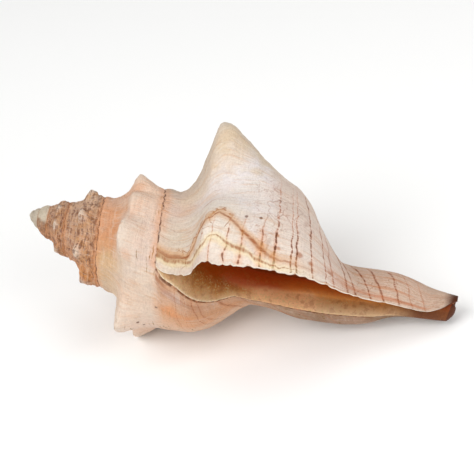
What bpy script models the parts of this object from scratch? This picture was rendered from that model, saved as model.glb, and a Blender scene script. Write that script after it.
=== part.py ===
"""Striped fox conch shell: one hollow coiled body, in metres, +Z up."""
import math

import bmesh
import bpy
import numpy as np
from mathutils import Matrix, Vector

for old in list(bpy.data.objects):
    bpy.data.objects.remove(old, do_unlink=True)

MM = 0.001

# The coil. Angles in degrees grow with the shell; lengths in mm run along the coil axis.
axis_start = -1.7
growth_along = 1.8
growth_across = 1.64
suture_at = 50.4
suture_radius = 24.85
next_suture_at = axis_start + (suture_at - axis_start) * growth_along
next_suture_radius = suture_radius * growth_across
canal_end = 153.3
canal_end_inner = 151.5
lip_angle = 98.0
turns_built = 5.4

# The whorl from suture to base, as (place along the axis, radius) at the lip.
whorl_profile = [
    (suture_at, suture_radius), (54.2, 25.9), (57.7, 26.9), (61.2, 28.7), (64.8, 31.0), (68.2, 33.6),
    (71.8, 35.9), (75.2, 37.6), (82.2, 39.6), (next_suture_at, next_suture_radius), (98.0, 39.7),
    (104.3, 38.0), (107.8, 35.7), (111.3, 32.5), (114.4, 28.3), (117.6, 23.4), (120.7, 18.9),
    (123.5, 15.4), (126.7, 11.9), (131.2, 6.3), (136.5, 1.4), (161.0, 0.0)]
young_bulge = 5.6

# Shoulder knobs: angle, height in mm, half width in degrees, place of the crest and length
# of the ridge in front of it.
shoulder_knobs = [
    (74, 10.5, 15, 71.0, 0.8), (3, 24.1, 15, 68.2, 1.0), (-52, 15.7, 14, 70.0, 0.55),
    (-100, 18.5, 14, 70.0, 0.45), (-150, 16.5, 14, 70.5, 0.45), (-203, 13.6, 13, 71.0, 0.5),
    (-270, 10.5, 14, 72.1, 0.55), (-316, 5.6, 12, 71.0, 0.55), (-357, 10.8, 13, 72.1, 0.55),
    (-405, 8.4, 12, 71.0, 0.55), (-455, 8.4, 12, 71.0, 0.55), (-505, 8.4, 12, 71.0, 0.55),
    (-556, 7.0, 12, 74.5, 0.55), (-608, 8.4, 11, 71.8, 0.55), (-650, 8.4, 11, 71.8, 0.55),
    (-716, 9.4, 12, 72.1, 0.55), (-770, 7.0, 12, 71.0, 0.55), (-825, 7.0, 12, 71.0, 0.55),
    (-880, 7.0, 12, 71.0, 0.55), (-922, 5.9, 12, 74.0, 0.55), (-985, 6.3, 12, 71.0, 0.55),
    (-1030, 5.6, 12, 71.0, 0.55), (-1080, 5.9, 12, 71.8, 0.55), (-1130, 3.1, 12, 71.0, 0.55)]
knob_section = [
    (-10.5, 0.0), (-7.7, 0.05), (-4.9, 0.24), (-2.1, 0.72), (0.0, 1.0), (3.5, 0.93), (9.8, 0.70),
    (15.7, 0.50), (21.7, 0.31), (28.0, 0.18), (35.0, 0.11), (47.2, 0.06), (56.0, 0.0), (70.0, 0.0)]
knob_lean = 0.12
under_dent = 6.2
under_dent_angle = -150.0
under_dent_angle_width = 55.0
under_dent_at = 95.0
under_dent_width = 15.0

# The siphonal canal: a bent centre line and radii on its upper, lower and inner sides.
canal_bend = [
    (70.0, 0.0), (84.0, 0.2), (91.0, 1.0), (98.0, 2.1), (105.0, 3.5), (112.0, 4.5), (119.0, 5.6),
    (126.0, 7.0), (133.0, 8.8), (140.0, 10.1), (145.2, 10.8), (canal_end, 11.9)]
canal_upper = [
    (35.0, 6.3), (98.0, 15.4), (105.0, 14.0), (110.6, 11.5), (115.1, 10.8), (124.6, 10.5),
    (128.1, 10.1), (134.4, 8.6), (138.9, 7.2), (143.5, 5.8), (148.8, 4.9), (canal_end, 4.4)]
canal_lower = [
    (35.0, 6.3), (82.6, 6.6), (87.5, 6.8), (94.8, 7.7), (100.8, 9.4), (104.3, 10.0), (116.5, 9.8),
    (126.3, 8.2), (131.6, 6.1), (136.5, 5.1), (143.5, 4.7), (148.8, 4.4), (canal_end, 4.0)]
canal_inner = [
    (35.0, 5.9), (82.6, 6.3), (87.5, 6.5), (100.1, 8.0), (106.8, 8.2), (118.3, 7.0), (132.3, 5.4),
    (140.0, 4.9), (145.6, 4.5), (canal_end, 3.9)]
columella = [
    (35.0, 5.2), (70.0, 4.9), (84.0, 4.7), (105.0, 4.2), (126.0, 2.8), (140.0, 1.9), (canal_end, 1.4)]
wall_thickness = [
    (suture_at, 1.2), (70.0, 1.4), (105.0, 1.4), (126.0, 1.3), (140.0, 1.1), (canal_end, 0.9)]
blend_width = 2.45

# Edges of the aperture, as (place along the axis, angle).
outer_lip = [
    (suture_at, 98.0), (54.9, 102.0), (60.2, 98.6), (63.9, 92.0), (70.7, 85.6), (77.0, 86.2), (88.2, 83.0),
    (98.0, 84.7), (109.5, 88.8), (119.3, 94.0), (131.2, 101.0), (138.6, 116.0), (144.2, 108.0),
    (148.8, 85.0), (canal_end, 62.0)]
inner_lip = [
    (suture_at, 98.0), (53.9, 108.0), (58.1, 113.0), (63.0, 125.0), (68.2, 142.0), (73.5, 158.0),
    (77.7, 162.0), (82.6, 160.0), (87.5, 152.0), (100.1, 142.0), (106.8, 142.0), (118.3, 143.0),
    (132.3, 155.0), (138.2, 170.0), (canal_end_inner, 178.0)]
# Where each place on the outer lip's base lies on the inner lip, one turn earlier.
base_match = [
    (next_suture_at, suture_at), (98.0, 56.0), (105.0, 64.8), (112.0, 75.2), (119.0, 89.2),
    (126.0, 105.0), (133.0, 119.0), (140.0, 133.0), (canal_end, canal_end_inner)]

# The hollow.
canal_hollow_turn = 150.0
hollow_reach = 560.0
hollow_corner = 2.8
hollow_front = [
    (0.0, canal_end), (canal_hollow_turn, 152.6), (190.0, 121.0), (240.0, 105.0), (300.0, 94.5),
    (360.0, 86.0), (720.0, 51.0)]
knob_fill = 0.55

# How finely the faceted solid is cut.
steps_per_turn = 44
whorl_columns = 7
all_columns = 25
hollow_steps = 50
hollow_canal_steps = steps_per_turn // 2

# How the shell lies: turned about its own axis, then about the level cross axis.
rest_turn = -42.9
rest_pitch = 19.6
rest_yaw = 0.0


def curve(points, x):
    """Smooth value through the points, with no overshoot."""
    xs = np.array([p[0] for p in points], float)
    ys = np.array([p[1] for p in points], float)
    width = np.diff(xs)
    slope = np.diff(ys) / width
    lean = np.zeros_like(ys)
    for i in range(1, len(xs) - 1):
        if slope[i - 1] * slope[i] > 0:
            near = 2 * width[i] + width[i - 1]
            far = width[i] + 2 * width[i - 1]
            lean[i] = (near + far) / (near / slope[i - 1] + far / slope[i])
    lean[0] = slope[0]
    lean[-1] = slope[-1]
    x = np.clip(np.asarray(x, float), xs[0], xs[-1])
    i = np.clip(np.searchsorted(xs, x, side="right") - 1, 0, len(xs) - 2)
    u = (x - xs[i]) / width[i]
    start = (1 + 2 * u) * (1 - u) ** 2 * ys[i] + u * (1 - u) ** 2 * width[i] * lean[i]
    end = u * u * (3 - 2 * u) * ys[i + 1] + u * u * (u - 1) * width[i] * lean[i + 1]
    return start + end


def ease(start, end, x):
    """0 before start, 1 after end, smooth between."""
    u = np.clip((np.asarray(x, float) - start) / (end - start), 0, 1)
    return u * u * (3 - 2 * u)


def knob_height(angle, place):
    height = np.zeros(np.broadcast(angle, place).shape)
    for at, tall, half_width, crest, ridge in shoulder_knobs:
        hill = np.exp(-((angle - at) / half_width) ** 2 / 2)
        beyond = place - crest
        section = curve(knob_section, np.where(beyond > 0, beyond / ridge, beyond))
        height = np.maximum(height, tall * hill * section)
    return height


def canal_radius(along, angle):
    upper = curve(canal_upper, along)
    lower = curve(canal_lower, along)
    inner = curve(canal_inner, along)
    u = np.clip((angle + 180.0) / 180.0, -1, 2)
    below = lower + (inner - lower) * np.clip(-u * 3.0, 0, 1)
    return np.where(u < 0, below, lower + (upper - lower) * u)


def shell_radius(along, angle, pillar_share=0.0):
    """Outer radius and knob height; pillar_share 1 turns the canal into the columella."""
    turns = (angle - lip_angle) / 360.0
    along_scale = growth_along ** turns
    across_scale = growth_across ** turns
    older_scale = growth_across ** np.minimum(0, turns + 1)
    place = axis_start + (along - axis_start) / along_scale
    young = ease(-3.0, -3.6, turns)
    share = np.clip((place - suture_at) / (next_suture_at - suture_at), 0, 1)
    plain = suture_radius + (next_suture_radius - suture_radius) * share
    plain = plain + young_bulge * np.sin(np.pi * share) ** 0.9
    profile = curve(whorl_profile, place)
    body = profile * (1 - young) + np.where(place <= next_suture_at, plain, profile) * young
    older_place = axis_start + (place - axis_start) * growth_along
    older = knob_height(angle - 360.0, older_place) / growth_across
    older = older * (1 - ease(suture_at, 61.6, place)) * (1 - ease(-2.0, -2.6, turns))
    knob = (knob_height(angle, place) + np.where(place >= suture_at - 1e-6, older, 0)) * (1 - young)
    dent = np.exp(-((angle - under_dent_angle) / under_dent_angle_width) ** 2 / 2)
    dent = dent * np.exp(-((place - under_dent_at) / under_dent_width) ** 2 / 2)
    dent = under_dent * dent * ease(lip_angle - 360.0, lip_angle - 330.0, angle)
    dent = dent * ease(suture_at, 60.0, place)
    body = (body + knob - dent) * across_scale
    pillar = curve(columella, along) * older_scale
    core = canal_radius(along, angle) * (1 - pillar_share) + pillar * pillar_share
    width = blend_width * older_scale
    joined = 0.5 * (body + core + np.sqrt((body - core) ** 2 + width * width))
    radius = body + (joined - body) * ease(next_suture_at, next_suture_at + 4.9, place)
    return radius, knob * across_scale


def point_rows(along, angle, radius, knob):
    """Points in mm: +X from apex to canal, angle 0 up, angle 90 towards -Y."""
    turn = np.radians(angle)
    x = along - knob_lean * knob
    y = -radius * np.sin(turn)
    z = curve(canal_bend, x) + radius * np.cos(turn)
    return np.stack([x + 0 * radius, y, z], -1)


def column_places():
    on_whorl = curve([(0, suture_at), (0.25, 58.8), (0.5, 67.2), (0.75, 77.0), (1, next_suture_at)],
                     np.linspace(0, 1, whorl_columns + 1))
    on_base = curve([(0, next_suture_at), (0.25, 106.4), (0.5, 119.0), (0.75, 134.0), (1, canal_end)],
                    np.linspace(0, 1, all_columns - whorl_columns + 1))
    return np.concatenate([on_whorl, on_base[1:]])


def outer_rows(places):
    """Growth lines from the apex to the outer lip."""
    last = int(round(turns_built * steps_per_turn))
    lip = curve(outer_lip, places) - lip_angle
    matched = curve(base_match, np.maximum(places, next_suture_at))
    rows = []
    for i in range(last + 1):
        turns = (i - last) / steps_per_turn
        if i < last - steps_per_turn:
            cols = places[:whorl_columns + 1]
            angle = lip_angle + 360 * turns + 0 * cols
            along = axis_start + (cols - axis_start) * growth_along ** turns
        else:
            grown = turns + 1
            on_whorl = lip_angle + 360 * turns + lip * ease(0.2, 1.0, grown)
            first = curve(inner_lip, matched) - 360
            on_base = first + (lip_angle + lip - first) * grown
            angle = np.where(places <= next_suture_at, on_whorl, on_base)
            on_older = (places - axis_start) / (matched - axis_start)
            growth = np.where(places <= next_suture_at, growth_along, on_older)
            along = axis_start + (places - axis_start) * growth ** (grown - 1)
        radius, knob = shell_radius(along, angle)
        rows.append(point_rows(along, angle, radius, knob))
    return rows


def hollow_rows(places):
    """Roof and floor of the hollow, from the aperture inwards, meeting at the edges and the end."""
    roof = []
    floor = []
    roof_share = (places - suture_at) / (canal_end - suture_at)
    matched = curve(base_match, places[whorl_columns:])
    floor_share = (matched - suture_at) / (canal_end_inner - suture_at)
    lip = curve(outer_lip, places) - lip_angle
    inner = curve(inner_lip, matched) - lip_angle
    edge = 0.5 * (canal_end + canal_end_inner)
    for k in range(hollow_steps + 1):
        if k <= hollow_canal_steps:
            back = canal_hollow_turn * (k / hollow_canal_steps) ** 1.15
        else:
            deeper = (k - hollow_canal_steps) / (hollow_steps - hollow_canal_steps)
            back = canal_hollow_turn + (hollow_reach - canal_hollow_turn) * deeper
        turns = -back / 360.0
        closing = min(1.0, back / canal_hollow_turn)
        start = axis_start + (suture_at - axis_start) * growth_along ** turns
        start += hollow_corner * growth_along ** turns * float(ease(0, 25, back))
        front = min(edge, float(curve(hollow_front, back)))
        roof_front = front
        floor_front = front
        if k < hollow_canal_steps:
            roof_front = canal_end + (edge - canal_end) * closing
            floor_front = canal_end_inner + (edge - canal_end_inner) * closing
        roof_along = start + (roof_front - start) * roof_share
        floor_along = start + (floor_front - start) * floor_share
        fade = 1 - ease(0, 120, back)
        roof_angle = lip_angle + lip * fade - back
        floor_angle = lip_angle - 360 + inner * fade - back
        pillar = float(ease(0, 30, back))
        floor_radius, floor_knob = shell_radius(floor_along, floor_angle, pillar)
        under_pillar = 1.0 if k == 0 else pillar
        under_radius, _ = shell_radius(roof_along, roof_angle - 360, under_pillar)
        roof_radius, roof_knob = shell_radius(roof_along, roof_angle)
        roof_radius = roof_radius - curve(wall_thickness, places) * growth_across ** (0.7 * turns)
        if k > 0:
            filled = roof_knob * knob_fill * float(ease(0, 40, back))
            gap = np.maximum(roof_radius - filled - under_radius, 0.2)
            roof_radius = under_radius + gap * np.sqrt(np.clip(1 - roof_share ** 3 * closing ** 2, 0, 1))
            roof_knob = roof_knob * 0.45
        roof_points = point_rows(roof_along, roof_angle, roof_radius, roof_knob)
        floor_points = point_rows(floor_along, floor_angle, floor_radius, floor_knob)
        roof_points[0] = floor_points[0]
        if k >= hollow_canal_steps:
            middle = 0.5 * (roof_points[-1] + floor_points[-1])
            roof_points[-1] = middle
            floor_points[-1] = middle
        if k == hollow_steps:
            middle = 0.5 * (roof_points.mean(0) + floor_points.mean(0))
            roof_points[:] = middle
            floor_points[:] = middle
        roof.append(roof_points)
        floor.append(floor_points)
    return roof, floor


def add_points(bm, points):
    return [bm.verts.new(Vector(p) * MM) for p in points]


def add_strip(bm, first, second):
    """Quads between two rows of equal length."""
    for j in range(min(len(first), len(second)) - 1):
        bm.faces.new((first[j], first[j + 1], second[j + 1], second[j]))


def build_shell():
    places = column_places()
    bm = bmesh.new()
    outside = [add_points(bm, row) for row in outer_rows(places)]
    roof_points, floor_points = hollow_rows(places)
    roof = [add_points(bm, row) for row in roof_points]
    floor = [add_points(bm, row) for row in floor_points]
    last = len(outside) - 1
    for first, second in zip(outside[:-1], outside[1:]):
        add_strip(bm, first, second)
    add_strip(bm, outside[-1], roof[0])
    for first, second in zip(roof[:-1], roof[1:]):
        add_strip(bm, first, second)
    for first, second in zip(floor[:-1], floor[1:]):
        add_strip(bm, second, first)
    # The canal's open end: a rim between the outside and the hollow.
    rim_out = [outside[i][-1] for i in range(last, last - steps_per_turn - 1, -1)]
    rim_in = [roof[k][-1] for k in range(hollow_canal_steps + 1)]
    rim_in += [floor[k][-1] for k in range(hollow_canal_steps - 1, -1, -1)]
    add_strip(bm, rim_out, rim_in)
    # The tip of the apex.
    loop = outside[0][::-1] + [outside[i][0] for i in range(1, steps_per_turn + 1)]
    tip = bm.verts.new(sum((v.co for v in loop), Vector()) / len(loop) - Vector((0.7 * MM, 0, 0)))
    for first, second in zip(loop, loop[1:] + loop[:1]):
        bm.faces.new((first, second, tip))
    bmesh.ops.remove_doubles(bm, verts=bm.verts, dist=1e-5)
    bmesh.ops.dissolve_degenerate(bm, dist=1e-7, edges=bm.edges)
    bmesh.ops.triangulate(bm, faces=bm.faces)
    bmesh.ops.recalc_face_normals(bm, faces=bm.faces)
    lie = Matrix.Rotation(math.radians(rest_yaw), 4, "Z")
    lie = lie @ Matrix.Rotation(math.radians(rest_pitch), 4, "Y")
    lie = lie @ Matrix.Rotation(math.radians(rest_turn), 4, "X")
    bmesh.ops.transform(bm, matrix=lie, verts=bm.verts)
    low = Vector([min(v.co[a] for v in bm.verts) for a in range(3)])
    high = Vector([max(v.co[a] for v in bm.verts) for a in range(3)])
    middle = (low + high) / 2
    bmesh.ops.translate(bm, verts=bm.verts, vec=(-middle.x, -middle.y, -low.z))
    mesh = bpy.data.meshes.new("shell")
    bm.to_mesh(mesh)
    bm.free()
    shell = bpy.data.objects.new("shell", mesh)
    bpy.context.collection.objects.link(shell)
    for polygon in mesh.polygons:
        polygon.use_smooth = True
    return shell


def shell_material():
    material = bpy.data.materials.new("shell_lime")
    material.use_nodes = True
    surface = material.node_tree.nodes["Principled BSDF"]
    surface.inputs["Base Color"].default_value = (0.78, 0.62, 0.50, 1.0)
    surface.inputs["Roughness"].default_value = 0.45
    return material


shell = build_shell()
shell.data.materials.append(shell_material())
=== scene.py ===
import math

import bmesh
import bpy
import numpy as np
from mathutils import Matrix, Vector
from types import SimpleNamespace


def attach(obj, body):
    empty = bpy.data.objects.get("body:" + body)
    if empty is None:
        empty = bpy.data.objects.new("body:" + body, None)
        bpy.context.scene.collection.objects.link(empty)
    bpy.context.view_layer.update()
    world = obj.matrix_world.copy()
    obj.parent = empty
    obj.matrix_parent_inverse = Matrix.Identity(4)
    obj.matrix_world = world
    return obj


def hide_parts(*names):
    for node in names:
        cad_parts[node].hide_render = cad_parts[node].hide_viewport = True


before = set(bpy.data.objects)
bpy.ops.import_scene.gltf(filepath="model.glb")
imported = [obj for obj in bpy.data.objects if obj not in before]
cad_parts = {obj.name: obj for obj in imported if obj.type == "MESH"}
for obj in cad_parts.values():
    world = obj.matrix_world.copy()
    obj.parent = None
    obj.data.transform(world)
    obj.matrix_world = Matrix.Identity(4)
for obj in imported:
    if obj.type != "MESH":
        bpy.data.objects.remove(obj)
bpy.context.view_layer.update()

# Lengths are mm along or across the coil axis, at the size the shell has at its lip.
# Angles are degrees and grow with the shell: 0 is the big spine's side, 90 the lip's side.

coil = {
    "start": -1.7,            # where the spiral would shrink to nothing
    "alongGrowth": 1.8,       # growth per turn
    "acrossGrowth": 1.64,
    "sutureAt": 50.4,
    "sutureRadius": 24.85,
    "canalEnd": 153.3,
    "canalEndInner": 151.5,
    "lipAngle": 98.0,
    "turns": 6.6,
}
coil["nextAt"] = coil["start"] + (coil["sutureAt"] - coil["start"]) * coil["alongGrowth"]
coil["nextRadius"] = coil["sutureRadius"] * coil["acrossGrowth"]

whorl = {
    "profile": [
        (coil["sutureAt"], coil["sutureRadius"]), (54.2, 25.9), (57.7, 26.9), (61.2, 28.7), (64.8, 31),
        (68.2, 33.6), (71.8, 35.9), (75.2, 37.6), (82.2, 39.6), (coil["nextAt"], coil["nextRadius"]),
        (98, 39.7), (104.3, 38), (107.8, 35.7), (111.3, 32.5), (114.4, 28.3), (117.6, 23.4),
        (120.7, 18.9), (123.5, 15.4), (126.7, 11.9), (131.2, 6.3), (136.5, 1.4), (161, 0)],
    "youngBulge": 5.6,
    "blend": 2.45,            # how softly the base runs into the canal
    "joinWidth": 4.9,         # mm over which that join begins
    "youngTurns": (-3, -3.6),     # where the knobbed turns give way to the smooth tip
    "imprintPlace": 58.5,     # how far the knobs of the turn below show through
    "imprintTurns": (-2, -2.6),
    "dent": 6.2, "dentAngle": -150, "dentAngleWidth": 55, "dentAt": 95, "dentWidth": 15,
}

knobs = {
    # angle, height, half width in degrees, place of the crest, length of the ridge in front
    "list": [
        (74, 10.5, 15, 71, 0.8), (3, 24.1, 15, 68.2, 1), (-52, 15.7, 14, 70, 0.55),
        (-100, 18.5, 14, 70, 0.45), (-150, 16.5, 14, 70.5, 0.45), (-203, 13.6, 13, 71, 0.5),
        (-278, 14.8, 12, 69.9, 0.5), (-316, 5.6, 12, 71, 0.55), (-357, 10.8, 13, 72.1, 0.55),
        (-405, 8.4, 12, 71, 0.55), (-455, 8.4, 12, 71, 0.55), (-505, 8.4, 12, 71, 0.55),
        (-556, 8, 10, 74.5, 0.55), (-605, 13, 9, 71, 0.5), (-650, 13, 9, 71, 0.5),
        (-716, 9.8, 10, 72.1, 0.5), (-770, 10.5, 10, 71, 0.5), (-825, 7, 12, 71, 0.55),
        (-880, 7, 12, 71, 0.55), (-922, 5.9, 12, 74, 0.55), (-985, 6.3, 12, 71, 0.55),
        (-1030, 5.6, 12, 71, 0.55), (-1080, 5.9, 12, 71.8, 0.55), (-1130, 3.1, 12, 71, 0.55)],
    "section": [
        (-10.5, 0), (-7.7, 0.05), (-4.9, 0.24), (-2.1, 0.72), (0, 1), (3.5, 0.93), (9.8, 0.70),
        (15.7, 0.50), (21.7, 0.31), (28, 0.18), (35, 0.11), (47.2, 0.06), (56, 0), (70, 0)],
    "lean": 0.12,
}

canal = {
    "bend": [
        (70, 0), (84, 0.2), (91, 1), (98, 2.1), (105, 3.5), (112, 4.5), (119, 5.6),
        (126, 7), (133, 8.8), (140, 10.1), (145.2, 10.8), (coil["canalEnd"], 11.9)],
    "upper": [
        (35, 6.3), (98, 15.4), (105, 14), (110.6, 11.5), (115.1, 10.8), (124.6, 10.5),
        (128.1, 10.1), (134.4, 8.6), (138.9, 7.2), (143.5, 5.8), (148.8, 4.9), (coil["canalEnd"], 4.4)],
    "lower": [
        (35, 6.3), (82.6, 6.6), (87.5, 6.8), (94.8, 7.7), (100.8, 9.4), (104.3, 10), (116.5, 9.8),
        (126.3, 8.2), (131.6, 6.1), (136.5, 5.1), (143.5, 4.7), (148.8, 4.4), (coil["canalEnd"], 4)],
    "inner": [
        (35, 5.9), (82.6, 6.3), (87.5, 6.5), (100.1, 8), (106.8, 8.2), (118.3, 7), (132.3, 5.4),
        (140, 4.9), (145.6, 4.5), (coil["canalEnd"], 3.9)],
    "pillar": [
        (35, 5.2), (70, 4.9), (84, 4.7), (105, 4.2), (126, 2.8), (140, 1.9),
        (coil["canalEnd"], 1.4)],
}

aperture = {
    "outerLip": [
        (coil["sutureAt"], 98), (54.9, 100), (60.2, 98.2), (63.9, 95), (67, 89.6),
        (70.7, 85.8), (77, 85), (88.2, 82), (98, 82), (109.5, 83.5), (119.3, 87),
        (131.2, 94.5), (138.6, 103.5), (144.2, 111), (148.8, 94), (coil["canalEnd"], 48)],
    "innerLip": [
        (coil["sutureAt"], 98), (53.9, 106), (58.1, 110), (63, 120), (68.2, 135),
        (73.5, 150), (77.7, 155), (82.6, 154), (87.5, 148), (100.1, 140), (106.8, 141),
        (118.3, 143), (132.3, 155), (138.2, 170), (coil["canalEndInner"], 178)],
    "baseMatch": [
        (coil["nextAt"], coil["sutureAt"]), (98, 56), (105, 64.8), (112, 75.2), (119, 89.2),
        (126, 105), (133, 119), (140, 133), (coil["canalEnd"], coil["canalEndInner"])],
    "wall": [
        (coil["sutureAt"], 1.2), (70, 1.4), (105, 1.4), (126, 1.3), (140, 1.1),
        (coil["canalEnd"], 0.9)],
    "notches": [              # where the lip's scalloped edge dips in
        57.5, 61, 63.6, 65.8, 68.1, 70.4, 72.6, 75.2, 78, 80.4, 83, 86.2, 89.4, 91.8, 94.2,
        97.4, 101, 104, 107, 111, 114, 118.4, 121, 125.5, 130, 135.3, 139.6, 144.0],
    "notchDepth": 0.75, "notchWidth": 0.9,
    "lipReach": 36,         # mm from the axis to the lip, for turning teeth into degrees
    "rimRound": 0.55,
}

hollow = {
    "canalTurn": 150, "reach": 560, "corner": 2.8, "knobFill": 0.55, "knobShare": 0.45,
    "spacing": 1.15,          # above 1, the rows are closer together near the lip
    "leastGap": 0.2,          # mm between roof and floor
    "wallGrowth": 0.7,        # how much of the growth the wall's thickness follows
    # degrees behind the lip over which each of these comes in or fades
    "cornerEase": 25, "pillarEase": 30, "fillEase": 40, "lipFade": 120, "teethFade": 9, "reliefFade": 12,
    "front": [
        (0, coil["canalEnd"]), (150, 152.6), (190, 121), (240, 105), (300, 94.5),
        (360, 86), (720, 51)],
}

fineness = {
    "stepsPerTurn": 144, "whorlColumns": 60, "allColumns": 132,
    "hollowSteps": 130, "rimSteps": 5,
    # how the columns spread over the whorl and over its base
    "whorlSpread": [(0, coil["sutureAt"]), (0.25, 58.8), (0.5, 67.2), (0.75, 77.0), (1, coil["nextAt"])],
    "baseSpread": [(0, coil["nextAt"]), (0.25, 106.4), (0.5, 119.0), (0.75, 134.0), (1, coil["canalEnd"])],
}

settling = {
    # how far the coils sit towards the canal, mm: all round, and more on the lip's side
    "round": [
        (-2.0, 1.2), (4.0, 0.9), (8.0, 1.1), (20.0, 1.6), (45.0, 1.7), (62.0, 1.3), (80.0, 0.4),
        (95.0, 0.0)],
    "lipSide": [(0.0, 0.0), (15.0, 0.3), (27.0, 1.1), (50.0, 1.6), (62.0, 1.0), (80.0, 0.0)],
    "sideAngle": 110.0,
    "waver": 0.09,            # mm, and its waves: radians for each mm of x, y and z, and the start
    "waves": [(0.6, 1.9, 0.0, 0), (-0.8, 0.0, 2.4, 1), (0.0, 1.3, 1.3, 2)],
}

relief = {
    "pucker": 0.5,            # small folds beside the suture
    "crags": 1.9,             # rough lumps on the older whorls
    "uneven": 0.5,            # and on all the rest
    "wobble": 0.3,            # slow unevenness of the growing edge
    "cord": 0.05,             # raised spiral cords
    "cordSpacing": 2.3,
    "beads": 0.85,            # lumpy ridges on the older whorls
    "beadsAt": [(80.5, 1.5), (86.8, 1.6)],
    # waves: share, degrees for each degree and for each mm, start
    "foldWaves": [(1.0, 37, 0, 0), (0.7, 23, 0, 40), (0.5, 59, 0, 0)],
    "slowWaves": [(1.0, 11, 3, 0), (0.6, 19, -5, 70)],
    "beadWaves": [(0.5, 31, 0, 0), (0.3, 47, 0, 80)],
    # lumps: share, cell in degrees and in mm, seed
    "roughLumps": [(1.0, 12.0, 5.5, 1), (0.6, 6.0, 2.8, 2)],
    "plainLumps": [(1.0, 9.0, 6.0, 3)],
    "olderTurns": (1.3, 1.8),       # turns before the lip where the rough surface sets in
}

pose = {"turn": -42.9, "pitch": 19.6, "shift": (-74.6495, -5.4493, 49.025)}   # how it lies, and where


def curve(points, x):  # a smooth line through the points, with no overshoot
    xs, ys = np.array(points, float).T
    width = np.diff(xs)
    slope = np.diff(ys) / width
    lean = np.zeros_like(ys)
    for i in range(1, len(xs) - 1):
        if slope[i - 1] * slope[i] > 0:
            near, far = 2 * width[i] + width[i - 1], width[i] + 2 * width[i - 1]
            lean[i] = (near + far) / (near / slope[i - 1] + far / slope[i])
    lean[0], lean[-1] = slope[0], slope[-1]
    x = np.clip(np.asarray(x, float), xs[0], xs[-1])
    i = np.clip(np.searchsorted(xs, x, side="right") - 1, 0, len(xs) - 2)
    u = (x - xs[i]) / width[i]
    start = (1 + 2 * u) * (1 - u) ** 2 * ys[i] + u * (1 - u) ** 2 * width[i] * lean[i]
    return start + u * u * (3 - 2 * u) * ys[i + 1] + u * u * (u - 1) * width[i] * lean[i + 1]


def ease(start, end, x):
    u = np.clip((np.asarray(x, float) - start) / (end - start), 0, 1)
    return u * u * (3 - 2 * u)


def knobHeight(angle, place, asShare=False):  # mm, or 1 on every knob's crest
    height = np.zeros(np.broadcast(angle, place).shape)
    for at, tall, halfWidth, crest, ridge in knobs["list"]:
        tall = 1.0 if asShare else tall
        hill = np.exp(-((angle - at) / halfWidth) ** 2 / 2)
        beyond = place - crest
        section = curve(knobs["section"], np.where(beyond > 0, beyond / ridge, beyond))
        height = np.maximum(height, tall * hill * section)
    return height


def canalRadius(along, angle):
    upper, lower, inner = (curve(canal[k], along) for k in ("upper", "lower", "inner"))
    u = np.clip((angle + 180.0) / 180.0, -1, 2)
    return np.where(u < 0, lower + (inner - lower) * np.clip(-u * 3.0, 0, 1), lower + (upper - lower) * u)


def cells(angle, place, wide, tall, seed):  # smooth noise, 0 to 1, in cells of wide degrees by tall mm
    u, v = angle / wide + 0 * place, place / tall + 0 * angle
    i, j = np.floor(u), np.floor(v)
    across, down = ease(0, 1, u - i), ease(0, 1, v - j)

    def corner(di, dj):
        value = np.sin((i + di) * 127.1 + (j + dj) * 311.7 + seed * 74.7) * 43758.5453
        return value - np.floor(value)
    near = corner(0, 0) * (1 - across) + corner(1, 0) * across
    far = corner(0, 1) * (1 - across) + corner(1, 1) * across
    return near * (1 - down) + far * down


def lumps(kind, angle, place):
    return sum(share * cells(angle, place, wide, tall, seed) for share, wide, tall, seed in relief[kind])


def waves(kind, angle, place):
    return sum(share * np.sin(np.radians(angle * byDegree + place * byMm + start))
               for share, byDegree, byMm, start in relief[kind])


def smallRelief(angle, place):  # in mm at the lip's size
    suture, following = coil["sutureAt"], coil["nextAt"]
    band = ease(suture, 51.8, place) * (1 - ease(52.8, 57.5, place))
    pucker = relief["pucker"] * band * (0.6 + 0.45 * waves("foldWaves", angle, place))
    cords = relief["cord"] * np.sin(place * 2 * math.pi / relief["cordSpacing"])
    slow = relief["wobble"] * waves("slowWaves", angle, place) * 0.5
    away = ease(suture, 58.0, place) * (1 - ease(84.0, following, place)) + ease(following, 100.0, place)
    inside = (1 - ease(88.5, following, place)) + ease(following, 96.0, place)
    older = ease(*(coil["lipAngle"] - 360 * turns for turns in relief["olderTurns"]), angle)
    ridges = sum(np.exp(-((place - at) / width) ** 2) for at, width in relief["beadsAt"])
    beads = ridges * relief["beads"] * older * (0.62 + waves("beadWaves", angle, place))
    rough = relief["crags"] * older * (lumps("roughLumps", angle, place) - 0.8)
    plain = relief["uneven"] * (1 - older) * (lumps("plainLumps", angle, place) - 0.5)
    crags = (rough + plain) * ease(suture, 54.0, place)
    return pucker + (away * (slow + cords) + beads + crags) * inside


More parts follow.
